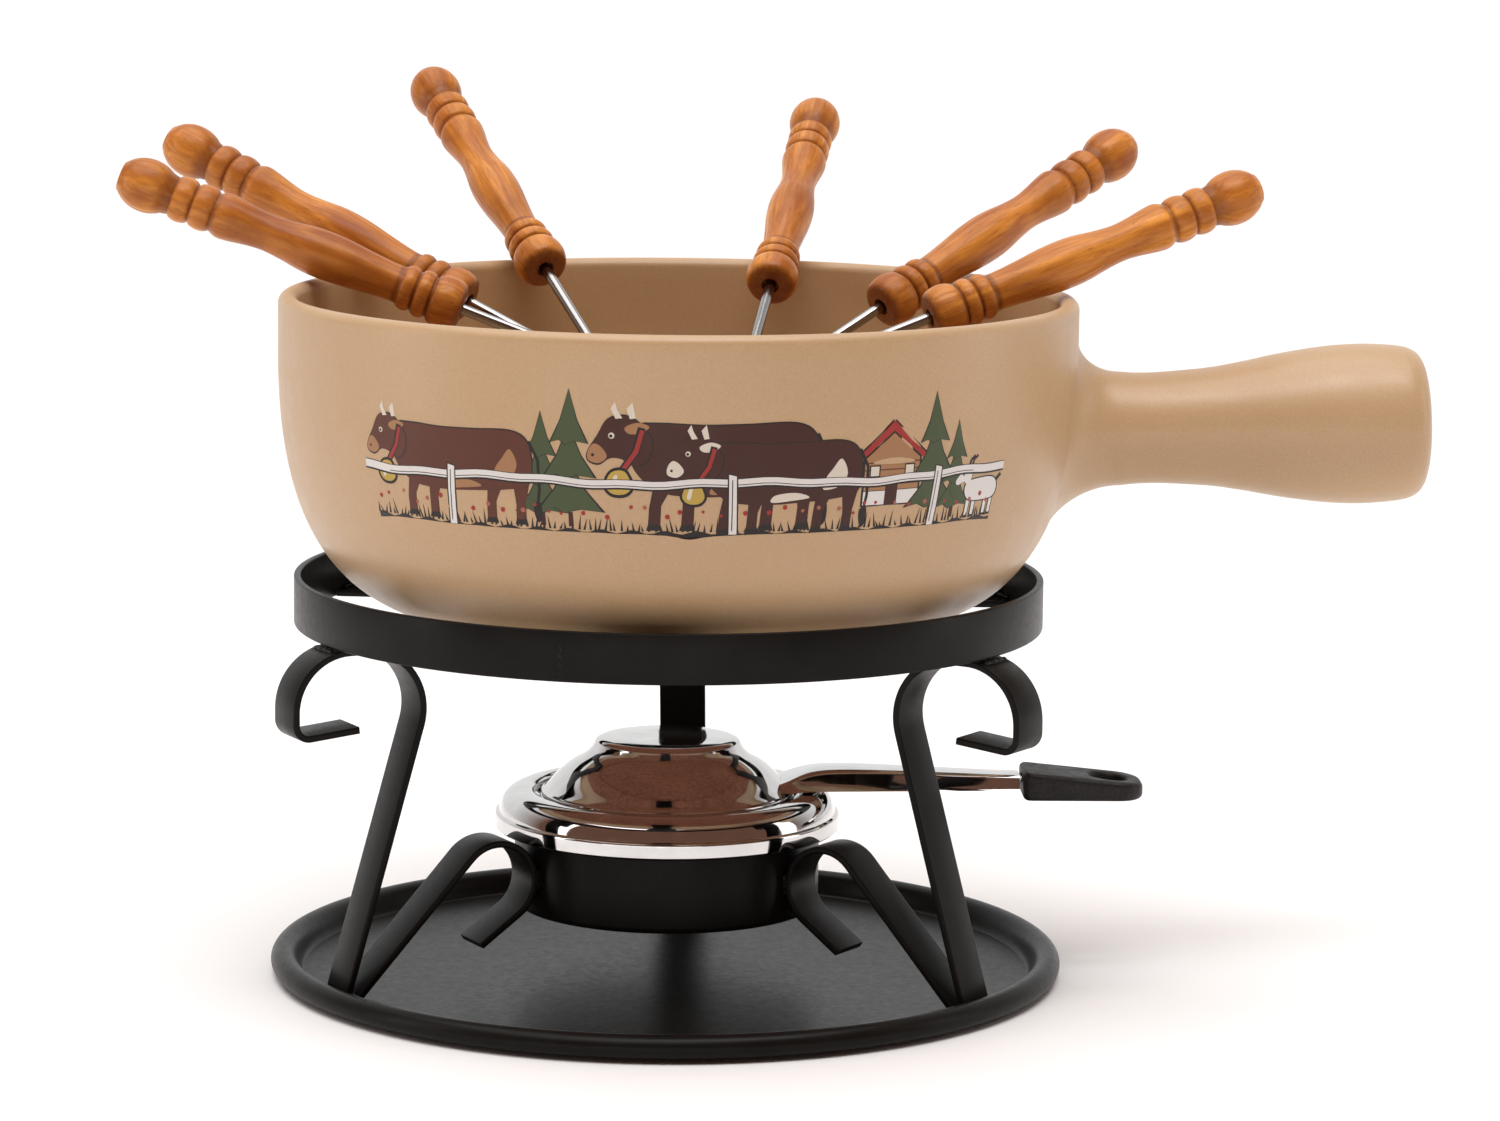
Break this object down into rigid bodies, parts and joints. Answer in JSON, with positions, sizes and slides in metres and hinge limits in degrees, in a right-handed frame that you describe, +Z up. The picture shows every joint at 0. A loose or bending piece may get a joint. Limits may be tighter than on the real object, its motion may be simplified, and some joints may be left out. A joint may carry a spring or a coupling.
{
  "type": "fondue pot set",
  "caption": "Glazed ceramic fondue pot with a side handle on a wrought strip stand over a spirit burner and tray, with wood-handled fondue forks leaning in the pot.",
  "frame": {"origin": "centre of the tray's flat underside, which stands on the table", "axes": "+Z up, +X along the pot's side handle, +Y away from the decorated side of the pot"},
  "size_m": [0.3819, 0.2863, 0.2545],
  "materials": {
    "black_paint": "satin black stoving paint on steel",
    "chrome": "bright chrome plate on pressed steel",
    "fork_steel": "polished stainless rod",
    "burner_steel": "plain drawn steel",
    "wadding": "mineral wool wadding",
    "grip_plastic": "black phenolic with a fine moulded texture",
    "pot_glaze": "satin beige glaze with fine speckle",
    "decal_ink": "fired decal colours under a thin glaze",
    "fork_wood": "turned beech with an orange-brown varnish"
  },
  "bodies": {
    "tray": {"tray": "black_paint"},
    "stand": {"stand_ring": "black_paint", "leg_back": "black_paint", "leg_left": "black_paint", "leg_right": "black_paint", "pot_rest_right": "black_paint", "pot_rest_left": "black_paint", "pot_rest_front": "black_paint", "burner_holder": "black_paint"},
    "burner": {"burner_bowl": "burner_steel", "burner_wadding": "wadding", "burner_gauze": "burner_steel", "burner_cover": "chrome"},
    "regulator": {"regulator_ring": "chrome"},
    "lid": {"burner_lid": "chrome", "lid_grip": "grip_plastic"},
    "pot": {"pot": "pot_glaze"},
    "fork_1": {"fork_1_handle": "fork_wood", "fork_1_shaft": "fork_steel"},
    "fork_2": {"fork_2_handle": "fork_wood", "fork_2_shaft": "fork_steel"},
    "fork_3": {"fork_3_handle": "fork_wood", "fork_3_shaft": "fork_steel"},
    "fork_4": {"fork_4_handle": "fork_wood", "fork_4_shaft": "fork_steel"},
    "fork_5": {"fork_5_handle": "fork_wood", "fork_5_shaft": "fork_steel"},
    "fork_6": {"fork_6_handle": "fork_wood", "fork_6_shaft": "fork_steel"}
  },
  "joints": [
    {"name": "stand_lift", "type": "slide", "parent": "tray", "child": "stand", "axis": [0, 0, 1], "range_m": [0, 0.05]},
    {"name": "pot_lift", "type": "slide", "parent": "stand", "child": "pot", "axis": [0, 0, 1], "range_m": [0, 0.08]},
    {"name": "burner_lift", "type": "slide", "parent": "stand", "child": "burner", "axis": [0, 0, 1], "range_m": [0, 0.022]},
    {"name": "regulator_turn", "type": "hinge", "parent": "burner", "child": "regulator", "pos_m": [0, 0, 0.0512], "axis": [0, 0, 1], "range_deg": [-22, 74]},
    {"name": "lid_lift", "type": "slide", "parent": "regulator", "child": "lid", "axis": [0, 0, 1], "range_m": [0, 0.011]},
    {"name": "fork_1_slide", "type": "slide", "parent": "pot", "child": "fork_1", "axis": [-0.9342, 0.049, 0.3535], "range_m": [0, 0.24]},
    {"name": "fork_2_slide", "type": "slide", "parent": "pot", "child": "fork_2", "axis": [-0.854, 0.3058, 0.421], "range_m": [0, 0.24]},
    {"name": "fork_3_slide", "type": "slide", "parent": "pot", "child": "fork_3", "axis": [-0.3751, 0.7863, 0.4909], "range_m": [0, 0.24]},
    {"name": "fork_4_slide", "type": "slide", "parent": "pot", "child": "fork_4", "axis": [0.1558, 0.8836, 0.4415], "range_m": [0, 0.24]},
    {"name": "fork_5_slide", "type": "slide", "parent": "pot", "child": "fork_5", "axis": [0.7248, 0.5442, 0.4226], "range_m": [0, 0.24]},
    {"name": "fork_6_slide", "type": "slide", "parent": "pot", "child": "fork_6", "axis": [0.9014, 0.2739, 0.3355], "range_m": [0, 0.24]}
  ]
}
